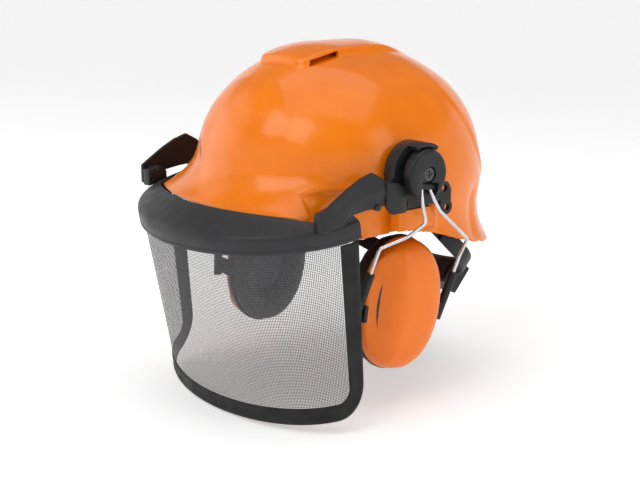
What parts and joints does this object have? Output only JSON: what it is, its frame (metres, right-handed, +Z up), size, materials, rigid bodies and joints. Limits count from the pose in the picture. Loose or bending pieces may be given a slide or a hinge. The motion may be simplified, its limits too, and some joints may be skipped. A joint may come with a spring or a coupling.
{
  "type": "forestry helmet",
  "caption": "Hard hat with a mesh face screen on a hinged brow guard and two wire-hung ear defenders, over a strap harness with a ratchet nape band.",
  "frame": {"origin": "centre of the head opening, level with the lower edge of the dome", "axes": "+Z up, +X to the wearer's left, -Y to the front"},
  "size_m": [0.263, 0.3042, 0.2821],
  "materials": {
    "shell_orange": "glossy moulded plastic",
    "cup_orange": "satin moulded plastic",
    "black_plastic": "fine-grained black plastic",
    "grey_plastic": "grained charcoal plastic",
    "white_plastic": "natural acetal plastic",
    "wire_steel": "bright spring steel",
    "screw_steel": "blackened steel",
    "mesh_steel": "woven wire, grey",
    "webbing": "woven polyester webbing",
    "cushion_vinyl": "soft black vinyl",
    "foam": "open-cell foam"
  },
  "bodies": {
    "helmet": {"shell": "shell_orange", "crown_strap_cross": "webbing", "crown_strap_diagonal_a": "webbing", "crown_strap_diagonal_b": "webbing", "crown_pad": "black_plastic", "harness_lugs": "black_plastic", "headband": "black_plastic", "sweatband": "cushion_vinyl", "ear_adapter_left": "grey_plastic", "ear_adapter_right": "grey_plastic", "turret_screw_left": "screw_steel", "turret_screw_right": "screw_steel"},
    "visor": {"brow_guard": "grey_plastic", "clamp_rail": "black_plastic", "visor_mesh": "mesh_steel", "mesh_binding": "black_plastic", "clamp_screws": "screw_steel", "visor_arm_left": "grey_plastic", "visor_arm_right": "grey_plastic", "arm_screw_left": "screw_steel", "arm_screw_right": "screw_steel"},
    "nape": {"nape_band": "black_plastic", "nape_cover": "black_plastic", "nape_pad": "cushion_vinyl"},
    "knob": {"ratchet_knob": "black_plastic", "ratchet_pinion": "white_plastic"},
    "rack_left": {"tail_rack_left": "white_plastic"},
    "rack_right": {"tail_rack_right": "white_plastic"},
    "turret_left_body": {"turret_left": "grey_plastic", "yoke_pin_left": "wire_steel"},
    "yoke_left": {"wire_yoke_left": "wire_steel", "yoke_barrel_left": "black_plastic"},
    "sleeves_left": {"sleeve_front_left": "black_plastic", "sleeve_rear_left": "black_plastic"},
    "cup_left": {"cup_shell_left": "cup_orange", "cup_plate_left": "black_plastic", "ear_cushion_left": "cushion_vinyl", "foam_liner_left": "foam"},
    "turret_right_body": {"turret_right": "grey_plastic", "yoke_pin_right": "wire_steel"},
    "yoke_right": {"wire_yoke_right": "wire_steel", "yoke_barrel_right": "black_plastic"},
    "sleeves_right": {"sleeve_front_right": "black_plastic", "sleeve_rear_right": "black_plastic"},
    "cup_right": {"cup_shell_right": "cup_orange", "cup_plate_right": "black_plastic", "ear_cushion_right": "cushion_vinyl", "foam_liner_right": "foam"}
  },
  "joints": [
    {"name": "visor_hinge", "type": "hinge", "parent": "helmet", "child": "visor", "pos_m": [0, -0.047, 0.03], "axis": [-1, 0, 0], "range_deg": [0, 68]},
    {"name": "nape_slide", "type": "slide", "parent": "helmet", "child": "nape", "axis": [0, 0.7373, -0.6756], "range_m": [-0.016, 0.01]},
    {"name": "knob_turn", "type": "hinge", "parent": "nape", "child": "knob", "pos_m": [0, 0.10847, -0.08107], "axis": [0, 0.7373, -0.6756], "range_deg": [-156, 98]},
    {"name": "rack_left_slide", "type": "slide", "parent": "nape", "child": "rack_left", "axis": [1, 0, 0], "range_m": [-0.0162, 0.0102]},
    {"name": "rack_right_slide", "type": "slide", "parent": "nape", "child": "rack_right", "axis": [-1, 0, 0], "range_m": [-0.0162, 0.0102]},
    {"name": "turret_swivel_left", "type": "hinge", "parent": "helmet", "child": "turret_left_body", "pos_m": [0.12, -0.023, 0.041], "axis": [-1, 0, 0], "range_deg": [-3, 12]},
    {"name": "yoke_swing_left", "type": "hinge", "parent": "turret_left_body", "child": "yoke_left", "pos_m": [0.126, -0.02243, 0.0318], "axis": [0, -0.9877, 0.1564], "range_deg": [0, 30]},
    {"name": "cup_height_left", "type": "slide", "parent": "yoke_left", "child": "sleeves_left", "axis": [0.2306, 0.2119, 0.9497], "range_m": [-0.015, 0.003]},
    {"name": "cup_tilt_left", "type": "hinge", "parent": "sleeves_left", "child": "cup_left", "pos_m": [0.091, -0.01352, -0.07491], "axis": [0, -0.9877, 0.1564], "range_deg": [-8, 8]},
    {"name": "turret_swivel_right", "type": "hinge", "parent": "helmet", "child": "turret_right_body", "pos_m": [-0.12, -0.023, 0.041], "axis": [-1, 0, 0], "range_deg": [-3, 12]},
    {"name": "yoke_swing_right", "type": "hinge", "parent": "turret_right_body", "child": "yoke_right", "pos_m": [-0.126, -0.02243, 0.0318], "axis": [0, 0.9877, -0.1564], "range_deg": [0, 30]},
    {"name": "cup_height_right", "type": "slide", "parent": "yoke_right", "child": "sleeves_right", "axis": [-0.2306, 0.2119, 0.9497], "range_m": [-0.015, 0.003]},
    {"name": "cup_tilt_right", "type": "hinge", "parent": "sleeves_right", "child": "cup_right", "pos_m": [-0.091, -0.01352, -0.07491], "axis": [0, 0.9877, -0.1564], "range_deg": [-8, 8]}
  ],
  "couplings": [
    {"joint": "knob_turn", "follows": "nape_slide", "rad_per_m": 166.67},
    {"joint": "rack_left_slide", "follows": "nape_slide", "ratio": 1},
    {"joint": "rack_right_slide", "follows": "nape_slide", "ratio": 1}
  ]
}
